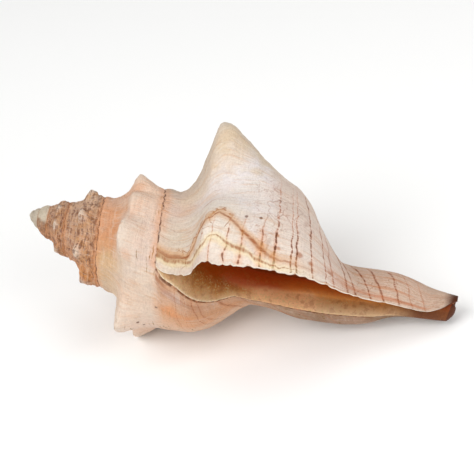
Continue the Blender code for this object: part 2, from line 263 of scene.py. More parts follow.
def shellRadius(along, angle, pillarShare=0.0, fine=0.0):
    turns = (angle - coil["lipAngle"]) / 360.0
    alongScale, acrossScale = coil["alongGrowth"] ** turns, coil["acrossGrowth"] ** turns
    olderScale = coil["acrossGrowth"] ** np.minimum(0, turns + 1)
    place = coil["start"] + (along - coil["start"]) / alongScale
    young = ease(*whorl["youngTurns"], turns)
    share = np.clip((place - coil["sutureAt"]) / (coil["nextAt"] - coil["sutureAt"]), 0, 1)
    plain = coil["sutureRadius"] + (coil["nextRadius"] - coil["sutureRadius"]) * share
    plain = plain + whorl["youngBulge"] * np.sin(np.pi * share) ** 0.9
    profile = curve(whorl["profile"], place)
    body = profile * (1 - young) + np.where(place <= coil["nextAt"], plain, profile) * young
    olderPlace = coil["start"] + (place - coil["start"]) * coil["alongGrowth"]
    older = knobHeight(angle - 360.0, olderPlace) / coil["acrossGrowth"]
    older = older * (1 - ease(coil["sutureAt"], whorl["imprintPlace"], place))
    older = np.where(place >= coil["sutureAt"] - 1e-6, older, 0) * (1 - ease(*whorl["imprintTurns"], turns))
    knob = (knobHeight(angle, place) + older) * (1 - young)
    dent = np.exp(-((angle - whorl["dentAngle"]) / whorl["dentAngleWidth"]) ** 2 / 2)
    dent = dent * np.exp(-((place - whorl["dentAt"]) / whorl["dentWidth"]) ** 2 / 2)
    dent = whorl["dent"] * dent * ease(coil["lipAngle"] - 360, coil["lipAngle"] - 330, angle)
    dent = dent * ease(coil["sutureAt"], 60.0, place)
    body = (body + knob - dent + fine * smallRelief(angle, place)) * acrossScale
    core = canalRadius(along, angle) * (1 - pillarShare)
    core = core + curve(canal["pillar"], along) * olderScale * pillarShare
    core = core + fine * relief["cord"] * np.sin(place * 2 * math.pi / relief["cordSpacing"])
    width = whorl["blend"] * olderScale
    joined = 0.5 * (body + core + np.sqrt((body - core) ** 2 + width * width))
    radius = body + (joined - body) * ease(coil["nextAt"], coil["nextAt"] + whorl["joinWidth"], place)
    return radius, knob * acrossScale


def spots(along, angle, radius, knob):
    turn = np.radians(angle)
    x = along - knobs["lean"] * knob + 0 * radius
    y, z = -radius * np.sin(turn), radius * np.cos(turn)
    lipSide = (0.5 + 0.5 * np.cos(turn - math.radians(settling["sideAngle"]))) ** 2
    waver = sum(np.sin(byX * x + byY * y + byZ * z + start) for byX, byY, byZ, start in settling["waves"])
    waver = settling["waver"] * waver * (1 - ease(75.0, 95.0, x)) * ease(6.0, 14.0, x)
    settled = x + curve(settling["round"], x) + curve(settling["lipSide"], x) * lipSide + waver
    return np.stack([settled, y, curve(canal["bend"], x) + z], -1)


def columnPlaces():
    n, m = fineness["whorlColumns"], fineness["allColumns"]
    onWhorl = curve(fineness["whorlSpread"], np.linspace(0, 1, n + 1))
    onBase = curve(fineness["baseSpread"], np.linspace(0, 1, m - n + 1))
    return np.concatenate([onWhorl, onBase[1:]])


def lipWave(place):  # teeth of the outer lip, in mm
    wave = 0 * place
    for i, at in enumerate(aperture["notches"]):
        deep = 0.65 + 0.35 * math.sin(i * 2.4)
        wave = wave - deep * np.exp(-((place - at) / aperture["notchWidth"]) ** 2)
    return aperture["notchDepth"] * (wave + 0.3) * ease(54.0, 60.0, place) * (1 - ease(140.0, 150.0, place))


def outerRow(places, turns, columns):  # one growth line: points, from one column to another
    a, b = columns
    cols = places[a:b + 1]
    lip = curve(aperture["outerLip"], cols) - coil["lipAngle"]
    if turns < -1 - 1e-9:
        angle = coil["lipAngle"] + 360 * turns + 0 * cols
        along = coil["start"] + (cols - coil["start"]) * coil["alongGrowth"] ** turns
    else:
        grown = turns + 1
        matched = curve(aperture["baseMatch"], np.maximum(cols, coil["nextAt"]))
        onWhorl = coil["lipAngle"] + 360 * turns + lip * ease(0.2, 1.0, grown)
        first = curve(aperture["innerLip"], matched) - 360
        onBase = first + (coil["lipAngle"] + lip - first) * grown
        angle = np.where(cols <= coil["nextAt"], onWhorl, onBase)
        angle = angle + np.degrees(lipWave(cols) / aperture["lipReach"]) * ease(0.975, 1.0, grown)
        onBaseGrowth = (cols - coil["start"]) / (matched - coil["start"])
        growth = np.where(cols <= coil["nextAt"], coil["alongGrowth"], onBaseGrowth)
        along = coil["start"] + (cols - coil["start"]) * growth ** (grown - 1)
    radius, knob = shellRadius(along, angle, fine=1.0)
    return spots(along, angle, radius, knob)


def hollowRows(places):  # roof and floor of the hollow, meeting along both edges and at the far end
    n = fineness["whorlColumns"]
    halfTurn, steps = fineness["stepsPerTurn"] // 2, fineness["hollowSteps"]
    roofShare = (places - coil["sutureAt"]) / (coil["canalEnd"] - coil["sutureAt"])
    matched = curve(aperture["baseMatch"], places[n:])
    floorShare = (matched - coil["sutureAt"]) / (coil["canalEndInner"] - coil["sutureAt"])
    lip = curve(aperture["outerLip"], places) - coil["lipAngle"]
    teeth = np.degrees(lipWave(places) / aperture["lipReach"])
    inner = curve(aperture["innerLip"], matched) - coil["lipAngle"]
    edge = 0.5 * (coil["canalEnd"] + coil["canalEndInner"])
    roof, floor, backs = [], [], []
    for k in range(steps + 1):
        if k <= halfTurn:
            back = hollow["canalTurn"] * (k / halfTurn) ** hollow["spacing"]
        else:
            beyond = (k - halfTurn) / (steps - halfTurn)
            back = hollow["canalTurn"] + (hollow["reach"] - hollow["canalTurn"]) * beyond
        turns = -back / 360.0
        closing = min(1.0, back / hollow["canalTurn"])
        start = coil["start"] + (coil["sutureAt"] - coil["start"]) * coil["alongGrowth"] ** turns
        start += hollow["corner"] * coil["alongGrowth"] ** turns * float(ease(0, hollow["cornerEase"], back))
        front = min(edge, float(curve(hollow["front"], back)))
        roofFront = floorFront = front
        if k < halfTurn:
            roofFront = coil["canalEnd"] + (edge - coil["canalEnd"]) * closing
            floorFront = coil["canalEndInner"] + (edge - coil["canalEndInner"]) * closing
        roofAlong = start + (roofFront - start) * roofShare
        floorAlong = start + (floorFront - start) * floorShare
        fade = 1 - ease(0, hollow["lipFade"], back)
        roofAngle = coil["lipAngle"] + lip * fade - back + teeth * (1 - ease(0, hollow["teethFade"], back))
        floorAngle = coil["lipAngle"] - 360 + inner * fade - back
        pillar = float(ease(0, hollow["pillarEase"], back))
        fine = 1 - float(ease(0, hollow["reliefFade"], back))
        floorRadius, floorKnob = shellRadius(floorAlong, floorAngle, pillar, fine)
        underRadius = shellRadius(roofAlong, roofAngle - 360, 1.0 if k == 0 else pillar)[0]
        roofRadius, roofKnob = shellRadius(roofAlong, roofAngle)
        thinning = coil["acrossGrowth"] ** (hollow["wallGrowth"] * turns)
        roofRadius = roofRadius - curve(aperture["wall"], places) * thinning
        if k > 0:
            filled = roofKnob * hollow["knobFill"] * float(ease(0, hollow["fillEase"], back))
            gap = np.maximum(roofRadius - filled - underRadius, hollow["leastGap"])
            roofRadius = underRadius + gap * np.sqrt(np.clip(1 - roofShare ** 3 * closing ** 2, 0, 1))
            roofKnob = roofKnob * hollow["knobShare"]
        roofSpots = spots(roofAlong, roofAngle, roofRadius, roofKnob)
        floorSpots = spots(floorAlong, floorAngle, floorRadius, floorKnob)
        roofSpots[0] = floorSpots[0]
        if k >= halfTurn:
            roofSpots[-1] = floorSpots[-1] = 0.5 * (roofSpots[-1] + floorSpots[-1])
        if k == steps:
            roofSpots[:] = floorSpots[:] = 0.5 * (roofSpots.mean(0) + floorSpots.mean(0))
        roof.append(roofSpots)
        floor.append(floorSpots)
        backs.append(back)
    return np.array(roof), np.array(floor), np.array(backs)


# Where the two old edges of the lip show as brown lines: (place, turns before the lip).
growthMarks = {
    "older": [
        (50.4, 0.031), (59.4, 0.032), (62.6, 0.030), (65.2, 0.042), (67.5, 0.050), (70.8, 0.056),
        (73.6, 0.066), (76.7, 0.063), (79.6, 0.055), (82.9, 0.044), (85.7, 0.034), (90.0, 0.022),
        (96.0, 0.016), (110.0, 0.014), (153.3, 0.012)],
    "newer": [
        (50.4, 0.024), (60.1, 0.024), (64.9, 0.019), (69.5, 0.018), (72.0, 0.028), (74.3, 0.031),
        (77.8, 0.025), (80.2, 0.0215), (84.3, 0.018), (88.6, 0.009), (93.2, 0.006), (110.0, 0.004),
        (153.3, 0.003)],
}


def addSheet(bm, layers, points, facts):  # a grid of faces, moved onto the points, that carries its facts
    rows, cols = points.shape[:2]
    before = len(bm.faces)
    made = bmesh.ops.create_grid(bm, x_segments=cols - 1, y_segments=rows - 1, size=1.0)["verts"]
    cell = {v: (round((v.co.y + 1) / 2 * (rows - 1)), round((v.co.x + 1) / 2 * (cols - 1))) for v in made}
    for v, at in cell.items():
        v.co = Vector(points[at]) * 0.001
    bm.faces.ensure_lookup_table()
    for face in bm.faces[before:]:
        for corner in face.loops:
            at = cell[corner.vert]
            for layer, fact in zip(layers, facts):
                corner[layer] = fact[at]


def rimSheet(first, second, ahead):  # a rounded edge from the outside to the hollow
    half = np.linalg.norm(second - first, axis=1)[:, None] / 2
    rows = []
    for s in np.linspace(0, math.pi, fineness["rimSteps"] + 1):
        flat = first * (1 + math.cos(s)) / 2 + second * (1 - math.cos(s)) / 2
        rows.append(flat + ahead * half * math.sin(s) * aperture["rimRound"])
    return np.array(rows)


def unit(v):
    return v / np.maximum(np.linalg.norm(v, axis=-1, keepdims=True), 1e-9)


def markOffset(age, place, which):  # mm from an old edge of the lip
    girth = 2 * math.pi * curve(whorl["profile"], place)
    return (age - curve(growthMarks[which], place)) * np.maximum(girth, 60.0)


def factsFor(age, place, depth, kind, rise):
    shape = np.broadcast(age, place, depth, kind, rise).shape
    age, place, depth, kind, rise = (
        np.broadcast_to(x, shape).astype(float) for x in (age, place, depth, kind, rise))
    marks = np.stack([markOffset(age, place, "older"), markOffset(age, place, "newer"), lipWave(place)], -1)
    return np.stack([age, place, depth], -1), np.stack([kind, rise, 0 * age], -1), marks


def buildShell():
    places = columnPlaces()
    n, steps = fineness["whorlColumns"], fineness["stepsPerTurn"]
    last = int(round(coil["turns"] * steps))
    young = [outerRow(places, (i - last) / steps, (0, n)) for i in range(last - steps)]
    whole = (0, len(places) - 1)
    grown = np.array([outerRow(places, (i - last) / steps, whole) for i in range(last - steps, last + 1)])
    onWhorls = np.array(young + [row[:n + 1] for row in grown])
    roof, floor, backs = hollowRows(places)

    bm = bmesh.new()
    layers = [bm.loops.layers.float_vector.new(name) for name in ("growth", "finish", "marks")]
    ages = (last - np.arange(last + 1))[:, None] / steps
    angles = coil["lipAngle"] - 360 * ages
    rise = knobHeight(angles, places[None, :n + 1], True)
    addSheet(bm, layers, onWhorls, factsFor(ages, places[None, :n + 1], 0.0, 0.0, rise))
    baseAges = ages[last - steps:]
    rise = knobHeight(coil["lipAngle"] - 360 * baseAges, places[None, n:], True)
    addSheet(bm, layers, grown[:, n:], factsFor(baseAges, places[None, n:], 0.0, 0.0, rise))
    addSheet(bm, layers, roof, factsFor(0.0, places[None, :], backs[:, None], 1.0, 0.0))
    addSheet(bm, layers, floor, factsFor(1.0, places[None, n:], backs[:, None], 2.0, 0.0))

    # The edge of the lip and the open end of the canal are rounded over.
    halfTurn = steps // 2
    canalOut = grown[::-1, -1]
    canalIn = np.concatenate([roof[:halfTurn + 1, -1], floor[halfTurn - 1::-1, -1]])
    lipAhead = unit(grown[-1] - grown[-2])
    canalAhead = unit(grown[::-1, -1] - grown[::-1, -2])
    lipAhead[-1] = canalAhead[0] = unit(lipAhead[-1] + canalAhead[0])
    lipRim = rimSheet(grown[-1], roof[0], lipAhead)
    across = np.linspace(0, 0.6, len(lipRim))[:, None]
    addSheet(bm, layers, lipRim, factsFor(0.0, places[None, :], across, 3.0, 0.0))
    canalRim = rimSheet(canalOut, canalIn, canalAhead)
    across = coil["canalEnd"] + np.linspace(0, 1, len(canalRim))[:, None]
    addSheet(bm, layers, canalRim, factsFor(0.0, across, 0 * canalOut[None, :, 0], 3.0, 0.0))

    bmesh.ops.remove_doubles(bm, verts=bm.verts, dist=1e-5)
    bmesh.ops.dissolve_degenerate(bm, dist=1e-7, edges=bm.edges)
    tip = bmesh.ops.holes_fill(bm, edges=[e for e in bm.edges if e.is_boundary], sides=0)["faces"]
    tip = bmesh.ops.poke(bm, faces=tip, offset=0.0)
    for v in tip["verts"]:
        v.co.x -= 0.0007
    for face in tip["faces"]:
        for corner in face.loops:
            corner[layers[0]] = (coil["turns"], 70.0, 0.0)
    bmesh.ops.triangulate(bm, faces=[f for f in bm.faces if len(f.verts) > 4])
    bmesh.ops.recalc_face_normals(bm, faces=bm.faces)
    print("open edges", sum(1 for e in bm.edges if not e.is_manifold), "faces", len(bm.faces))

    lie = Matrix.Rotation(math.radians(pose["pitch"]), 4, "Y")
    lie = lie @ Matrix.Rotation(math.radians(pose["turn"]), 4, "X")
    bmesh.ops.transform(bm, matrix=lie, verts=bm.verts)
    bmesh.ops.translate(bm, verts=bm.verts, vec=Vector(pose["shift"]) * 0.001)
    mesh = bpy.data.meshes.new("shellSkin")
    bm.to_mesh(mesh)
    bm.free()
    mesh.polygons.foreach_set("use_smooth", [True] * len(mesh.polygons))
    skin = bpy.data.objects.new("shellSkin", mesh)
    bpy.context.collection.objects.link(skin)
    return skin


class Reading:  # a socket that takes part in sums
    def __init__(self, paint, socket):
        self.paint = paint
        self.socket = socket

    def sum(self, operation, *others):
        return self.paint.sum(operation, self, *others)

    def __add__(self, other):
        return self.sum("ADD", other)

    __radd__ = __add__

    def __mul__(self, other):
        return self.sum("MULTIPLY", other)

    __rmul__ = __mul__

    def __sub__(self, other):
        return self.sum("SUBTRACT", other)

    def __rsub__(self, other):
        return self.paint.sum("SUBTRACT", other, self)

    def __truediv__(self, other):
        return self.sum("DIVIDE", other)

    def __pow__(self, other):
        return self.sum("POWER", other)

    def __abs__(self):
        return self.sum("ABSOLUTE")


class Paint:
    def __init__(self, name):
        self.material = bpy.data.materials.new(name)
        self.material.use_nodes = True
        self.tree = self.material.node_tree
        self.surface = self.tree.nodes["Principled BSDF"]

    def node(self, kind, settings=None, sockets=None, output=0):
        made = self.tree.nodes.new(kind)
        for key, value in (settings or {}).items():
            if key == "stops":
                ramp = made.color_ramp
                while len(ramp.elements) < len(value):
                    ramp.elements.new(0.5)
                for i, (at, colour) in enumerate(value):
                    ramp.elements[i].position = at
                    ramp.elements[i].color = colour
            else:
                setattr(made, key, value)
        for key, value in (sockets or {}).items():
            if isinstance(value, Reading):
                self.tree.links.new(value.socket, made.inputs[key])
            else:
                made.inputs[key].default_value = value
        return Reading(self, made.outputs[output])

    def sum(self, operation, *values):
        return self.node("ShaderNodeMath", {"operation": operation}, dict(enumerate(values)))

    def step(self, value, start, end):  # 0 at start, 1 at end, eased between; start may be the larger
        sockets = {"Value": value, "From Min": min(start, end), "From Max": max(start, end)}
        rising = self.node("ShaderNodeMapRange", {"interpolation_type": "SMOOTHSTEP"}, sockets)
        return rising if start < end else 1 - rising

    def ramp(self, value, stops, low=0.0, high=1.0):  # stops are (place on the scale, colour 0-255)
        stops = [((at - low) / (high - low), tint(colour)) for at, colour in stops]
        return self.node("ShaderNodeValToRGB", {"stops": stops}, {"Fac": (value - low) / (high - low)})

    def mix(self, share, first, second, way="MIX"):
        sockets = {0: share, 6: first if isinstance(first, Reading) else tint(first),
                   7: second if isinstance(second, Reading) else tint(second)}
        return self.node("ShaderNodeMix", {"data_type": "RGBA", "blend_type": way}, sockets, 2)

    def join(self, x, y, z):
        return self.node("ShaderNodeCombineXYZ", {}, {0: x, 1: y, 2: z})

    def noise(self, vector, scale, detail=3.0, rough=0.5):
        sockets = {"Vector": vector, "Scale": scale, "Detail": detail, "Roughness": rough}
        return self.node("ShaderNodeTexNoise", {}, sockets, "Fac")

    def facts(self, name):
        vector = self.node("ShaderNodeAttribute", {"attribute_name": name}, {}, "Vector")
        parts = self.tree.nodes.new("ShaderNodeSeparateXYZ")
        self.tree.links.new(vector.socket, parts.inputs[0])
        return [Reading(self, socket) for socket in parts.outputs]


def tint(colour):  # a screen colour, 0-255, as the light it stands for
    return tuple(((c / 255 + 0.055) / 1.055) ** 2.4 if c > 10 else c / 255 / 12.92 for c in colour) + (1.0,)


tones = {
    # screen colours, by turns before the lip
    "slope": [
        (0, (222, 204, 186)), (0.05, (214, 198, 178)), (0.12, (212, 196, 180)), (0.2, (200, 182, 164)),
        (0.35, (208, 190, 170)), (0.6, (222, 186, 156)), (0.86, (216, 188, 158)), (0.97, (218, 180, 138)),
        (1.03, (214, 160, 122)), (1.12, (214, 164, 130)), (1.22, (220, 176, 148)), (1.4, (216, 172, 142)),
        (1.72, (212, 154, 112)), (1.85, (206, 146, 104)), (1.95, (200, 150, 118)), (2.08, (194, 150, 116)),
        (2.27, (214, 182, 156)), (2.6, (198, 154, 124)), (2.78, (204, 134, 84)), (3, (186, 136, 102)),
        (3.2, (214, 172, 142)), (3.7, (196, 130, 86)), (3.9, (188, 140, 104)), (3.99, (170, 134, 104)),
        (4.03, (222, 208, 184)), (5.4, (220, 208, 188))],
    "front": [
        (0, (224, 210, 196)), (0.05, (222, 208, 196)), (0.1, (226, 217, 212)), (0.17, (226, 217, 214)),
        (0.215, (214, 196, 174)), (0.26, (214, 196, 172)), (0.35, (220, 200, 184)), (0.6, (228, 196, 172)),
        (0.84, (224, 200, 182)), (0.94, (222, 200, 180)), (1.02, (224, 205, 190)), (1.1, (228, 200, 180)),
        (1.2, (236, 204, 180)), (1.45, (228, 190, 162)), (1.7, (216, 156, 112)), (1.8, (206, 130, 72)),
        (1.9, (212, 148, 98)), (1.99, (212, 162, 128)), (2.1, (210, 166, 134)), (2.25, (220, 186, 158)),
        (2.5, (202, 158, 126)), (2.75, (208, 126, 72)), (2.9, (204, 136, 88)), (3.02, (190, 138, 104)),
        (3.25, (214, 172, 144)), (3.7, (198, 126, 80)), (3.9, (196, 136, 96)), (3.98, (166, 124, 96)),
        (4.02, (220, 206, 184)), (5.4, (220, 208, 188))],
    "base": [
        (0, (222, 208, 196)), (0.1, (216, 198, 186)), (0.3, (222, 202, 186)), (0.6, (224, 190, 164)),
        (0.83, (226, 188, 158)), (0.9, (214, 158, 118)), (0.93, (210, 162, 128)), (0.96, (208, 166, 138)),
        (1, (212, 166, 130))],
    # The hollow's floor, canal floor and roof: their own tan to red-brown, darkened deeper behind the lip as
    # painted shade under the lip.
    "floor": [
        (0, (238, 222, 194)), (1.2, (214, 184, 146)), (3, (198, 157, 114)), (11, (180, 130, 80)),
        (16, (160, 100, 40)), (24, (140, 70, 8)), (36, (136, 50, 4)), (60, (128, 36, 8)),
        (200, (110, 46, 20))],
    "canalFloor": [
        (0, (206, 172, 134)), (6, (188, 150, 112)), (18, (186, 138, 90)), (32, (186, 118, 50)),
        (50, (160, 84, 28)), (200, (120, 50, 14))],
    # Painted light: emission colour for the hollow, none at the lip and brighter deeper in, lifting its
    # shade.
    "paintedGlow": [
        (0, (0, 0, 0)), (12, (20, 8, 0)), (28, (110, 58, 8)), (45, (158, 74, 12)),
        (80, (176, 66, 20)), (200, (120, 50, 16))],
    "roof": [
        (0, (243, 228, 205)), (1.2, (206, 140, 88)), (4, (140, 60, 26)), (16, (120, 46, 18)),
        (40, (150, 76, 32)), (120, (170, 110, 66)), (200, (170, 120, 80))],
    "bark": (112, 64, 38),
    "brown": (150, 82, 36), "darkBrown": (88, 44, 20), "umber": (128, 76, 38), "ochre": (206, 150, 92),
    "cream": (232, 220, 204), "canalTan": (198, 160, 130), "fasciole": (130, 94, 56), "pink": (222, 186, 170),
    "orange": (222, 150, 98), "olive": (190, 164, 108), "lilac": (186, 164, 158), "moss": (140, 106, 56),
    "tan": (220, 192, 154), "peak": (226, 184, 144), "straw": (232, 214, 168), "rust": (186, 106, 58),
    "columella": (222, 166, 120), "endBrown": (96, 42, 12),
}
patches = [
    # turns before the lip, place, radius in mm, strength, tone
    (0.91, 99.5, 6, 0.6, "orange"), (0.965, 99, 4, 0.45, "lilac"), (0.86, 106, 7, 0.35, "orange"),
    (1.067, 62, 8, 0.5, "orange"), (1.12, 58, 8, 0.4, "orange"), (1.02, 58, 9, 0.4, "orange"),
    (1.008, 73.8, 4, 0.25, "orange"), (1.2, 70, 8, 0.35, "orange"), (0.144, 59, 7, 0.35, "pink"),
    (0.2, 73, 9, 0.45, "tan"), (0.17, 62, 7, 0.3, "tan"), (0.1, 74, 8, 0.25, "cream"),
    (0.13, 84, 9, 0.3, "cream"), (0.05, 80, 6, 0.3, "cream"),
    (0.031, 102.1, 1.5, 0.7, "brown"), (0.025, 105.9, 1.3, 0.7, "brown"), (0.033, 112.3, 1.3, 0.6, "brown"),
    (0.044, 82.9, 0.9, 0.7, "brown"), (0.053, 94.4, 0.9, 0.7, "brown"), (0.033, 95.2, 0.9, 0.6, "brown"),
    (0.072, 87.9, 0.7, 0.95, "darkBrown"), (0.069, 82.9, 0.6, 0.9, "darkBrown"),
    (0.128, 94.4, 0.6, 0.9, "darkBrown"), (0.847, 81.6, 0.8, 0.9, "darkBrown"),
    (0.833, 83.6, 0.7, 0.9, "darkBrown"), (0.9, 92.5, 0.7, 0.8, "darkBrown"),
]
growthHairs = [
    # turns before the lip, half width in turns, strength
    (0.058, 0.0016, 0.5), (0.083, 0.0018, 0.9), (0.104, 0.0014, 0.5), (0.121, 0.0018, 0.8),
    (0.149, 0.0016, 0.6), (0.178, 0.0018, 0.7), (0.214, 0.0016, 0.5)]
spiralLines = {
    # place, half width, strength
    "body": [(60.5, 0.3, 0.3), (66, 0.3, 0.4), (69.2, 0.3, 0.4), (72.6, 0.35, 0.6), (78, 0.4, 0.9),
             (83, 0.4, 0.9), (89.4, 0.45, 1), (94.2, 0.5, 1), (99.5, 0.4, 0.7), (101.4, 0.45, 0.9)],
    "smears": [(72.6, 1.2, 0.3), (78, 1.4, 0.35), (83, 1.6, 0.6), (89.4, 2, 0.9), (94.2, 1.8, 0.9),
               (101.4, 1.8, 0.6), (106.6, 1.5, 0.5)],
    "canal": [(106.6, 0.45, 0.9), (111, 0.35, 0.8), (113.5, 0.35, 0.7), (118.3, 0.5, 1),
              (120.6, 0.45, 0.9), (125.5, 0.55, 1), (129.8, 0.55, 1), (135.3, 0.55, 0.9),
              (139.6, 0.4, 0.6), (144, 0.45, 0.5)],
}


patterns = {
    # noises that follow the shell: cells for each turn and for each mm, seed, detail, roughness
    "along": {
        "growthLines": (230, 0.07, 0, 4, 0.6), "broadGrowth": (42, 0.04, 3, 3, 0.55),
        "threads": (14, 1.3, 7, 4, 0.65), "speckle": (70, 1.1, 11, 3, 0.7),
        "streaks": (9, 0.36, 17, 5, 0.6), "dashes": (26, 0.85, 29, 2, 0.5),
        "folds": (34, 0.16, 23, 3, 0.6), "clumps": (22, 0.3, 41, 4, 0.7)},
    # noises that fill space: cells for each metre, detail, roughness
    "through": {
        "blotches": (38, 4, 0.55), "grain": (1400, 4, 0.65), "waver": (170, 3, 0.55),
        "crags": (520, 4, 0.62)},
    # the facts of the shell, moved to and fro: which fact, and by how much
    "moved": {
        "toneAge": ("age", 0.16), "baseAge": ("age", 0.06), "lipAge": ("age", 0.012),
        "frontPlace": ("place", 12), "floorPlace": ("place", 8), "knobPlace": ("place", 5),
        "endFloor": ("place", 4), "creasePlace": ("place", 3.4), "endPlace": ("place", 3),
        "linePlace": ("place", 2.4), "seamPlace": ("place", 1.6), "roofDepth": ("depth", 5)},
}

# Where each layer of colour lies: its tone, its strength on each part of the shell, and the steps
# that bound it, each with the reading, the value where it is nothing and the value where it is full.
coats = {
    "ground": [
        ("canalTan", {"all": 0.6}, [("place", 110, 124)]),
        ("fasciole", {"all": 0.9}, [("place", 116, 128), ("age", 0.5, 0.8)]),
        ("pink", {"all": 0.35}, [("blotches", 0.5, 0.72)]),
        ("orange", {"all": 0.4}, [("blotches", 0.47, 0.3), ("age", 0.5, 1)])],
    "texture": [
        ("cream", {"all": 0.45, "old": 0.25}, [("rise", 0.35, 0.95)]),
        ("ochre", {"old": 0.45}, [("rise", 0.1, 0.3), ("rise", 0.55, 0.3)]),
        ("umber", {"old": 0.85}, [("rise", 0.06, 0.3), ("knobPlace", 56, 61), ("knobPlace", 68.5, 65)]),
        ("umber", {"old": 0.6}, [("knobPlace", 81, 85), ("threads", 0.4, 0.6)]),
        ("peak", {"all": 0.12, "old": 0.4}, [("crags", 0.56, 0.7)]),
        ("peak", {"old": 0.5}, [("clumps", 0.53, 0.62)]),
        ("bark", {"mature": 0.06, "old": 0.7}, [("clods", 0.5, 0.43)]),
        ("brown", {"all": 0.1, "middle": 0.14, "old": 0.12}, [("threads", 0.53, 0.7)]),
        ("cream", {"all": 0.16}, [("threads", 0.47, 0.3)]),
        ("umber", {"middle": 0.08, "old": 0.12}, [("streaks", 0.53, 0.62)]),
        ("cream", {"middle": 0.25}, [("streaks", 0.47, 0.34)]),
        ("moss", {"all": 1.0}, [
            ("dashes", 0.62, 0.68), ("age", 0.7, 0.86), ("age", 1.9, 1.7), ("place", 55, 60),
            ("blotches", 0.5, 0.6)]),
        ("ochre", {"all": 0.26, "old": 0.15}, [("growthLines", 0.54, 0.64)]),
        ("cream", {"all": 0.3}, [("growthLines", 0.46, 0.36)]),
        ("ochre", {"all": 0.3}, [("broadGrowth", 0.58, 0.74)]),
        ("lilac", {"all": 0.18}, [("broadGrowth", 0.44, 0.3)]),
        ("brown", {"hairs": 0.6}, [("place", 78, 70), ("growthLines", 0.4, 0.6)]),
        ("darkBrown", {"old": 0.7}, [("speckle", 0.6, 0.7)]),
        ("brown", {"all": 0.5}, [("speckle", 0.68, 0.74), ("age", 0.7, 0.9)])],
    "suture": [
        ("orange", {"all": 0.6}, [("warm", 0, 1.6), ("age", 5.2, 4.6)]),
        # The suture's dark brown line, deepened as painted shade in its crevice.
        ("darkBrown", {"all": 0.2, "craggy": 0.65}, [("seam", 0, 0.8), ("age", 5.2, 4.6)])],
    "lines": [
        ("brown", {"all": 0.8}, [("toCrack", 0.045, 0.01), ("age", 0.004, 0.02), ("cracked", 0, 1)]),
        ("orange", {"smears": 0.75}, [("age", 0.075, 0.02), ("blotches", 0.3, 0.6)]),
        ("rust", {"all": 0.5}, [("lines", 0, 0.55)]),
        ("darkBrown", {"all": 0.85}, [("lines", 0.35, 1.1)]),
        ("rust", {"all": 0.4}, [("bothGrowths", 0.5, 0.6), ("place", 104, 114), ("age", 0.5, 0.4)]),
        ("rust", {"all": 0.55}, [
            ("lipAge", 0.008, 0.024), ("lipAge", 0.042, 0.026), ("place", 110, 118),
            ("place", 147, 143)])],
    "oldEdges": [
        ("ochre", {"all": 0.6}, [("olderHalo", 3.6, 0.3), ("place", 112, 92)]),
        ("straw", {"all": 0.6}, [("newerHalo", 2.4, 0.2), ("place", 112, 92)]),
        ("brown", {"all": 0.5, "grown": 0.4}, [("toOlder", 1, 0.15), ("place", 112, 92)]),
        ("brown", {"all": 0.4, "threaded": 0.4}, [("toNewer", 0.75, 0.1), ("place", 112, 92)]),
        ("darkBrown", {"all": 1.0}, [("endPlace", 149, 152.8)]),
        ("brown", {"all": 0.6}, [
            ("broadGrowth", 0.5, 0.62), ("age", 0.93, 0.985), ("age", 1.001, 0.999),
            ("place", 92, 93), ("place", 112, 100)])],
    "floor": [
        # The columella's own pinkish tan, strengthened deep in the hollow as painted light where the lip
        # shades it.
        ("columella", {"all": 0.75}, [
            ("floorPlace", 113, 118), ("floorPlace", 129.5, 124.5), ("ragged", 44, 16)]),
        ("endBrown", {"all": 0.9}, [("endFloor", 139, 147)]),
        ("olive", {"all": 0.6}, [
            ("grain", 0.5, 0.6), ("crags", 0.4, 0.54), ("depth", 40, 18), ("place", 140, 130)]),
        ("umber", {"all": 0.4}, [("crags", 0.5, 0.36), ("depth", 1, 4)])],
    "rim": [
        ("ochre", {"all": 0.6}, [("teeth", -0.1, -0.5)]),
        ("orange", {"all": 0.7}, [("depth", 0.3, 0.6)]),
        ("darkBrown", {"all": 1.0}, [("place", 146, 151)])],
}

finish = {
    "oldestTone": 5.4,        # turns before the lip where the tones end
    "deepestTone": 200.0,     # degrees behind the lip where the hollow's tones end
    "patchGirth": 240.0,      # mm that a turn counts for in a patch
    "edgeWaver": 2.6, "haloWaver": 3.0,
    "rough": 0.46, "roughLines": 0.25, "polished": 0.12,
    "specular": 0.22,
    "paintedGlow": 0.22,             # painted light: strength of the glow painted into the hollow, lifting its shade like light through the thin wall
    "grainShade": 0.14,
    "bumpStrength": 0.9, "bumpHeight": 0.0007,
    # how high each pattern stands: everywhere outside, on the older whorls, and everywhere
    "outsideBumps": {"growthLines": 0.7, "folds": 0.7},
    "olderBumps": {"streaks": 0.5, "crags": 1.6},
    "allBumps": {"threads": 0.5, "crags": 0.4, "grain": 0.2},
}


def lineRamp(paint, place, lines):
    stops = []
    for at, half, strength in lines:
        grey = 255 * strength ** 0.45
        stops += [(at - half, (0, 0, 0)), (at, (grey, grey, grey)), (at + half, (0, 0, 0))]
    low, high = lines[0][0] - 5 * lines[0][1], lines[-1][0] + 5 * lines[-1][1]
    return paint.ramp(place, stops, low, high)


def bounded(paint, shell, bounds):  # the product of several steps
    share = 1.0
    for reading, start, full in bounds:
        share = share * paint.step(getattr(shell, reading), start, full)
    return share


def weighted(shell, strengths):  # a sum of readings
    return sum(strength * getattr(shell, reading) for reading, strength in strengths.items())


def layOver(paint, shell, under, name):
    for tone, strengths, bounds in coats[name]:
        under = paint.mix(bounded(paint, shell, bounds) * weighted(shell, strengths), under, tones[tone])
    return under


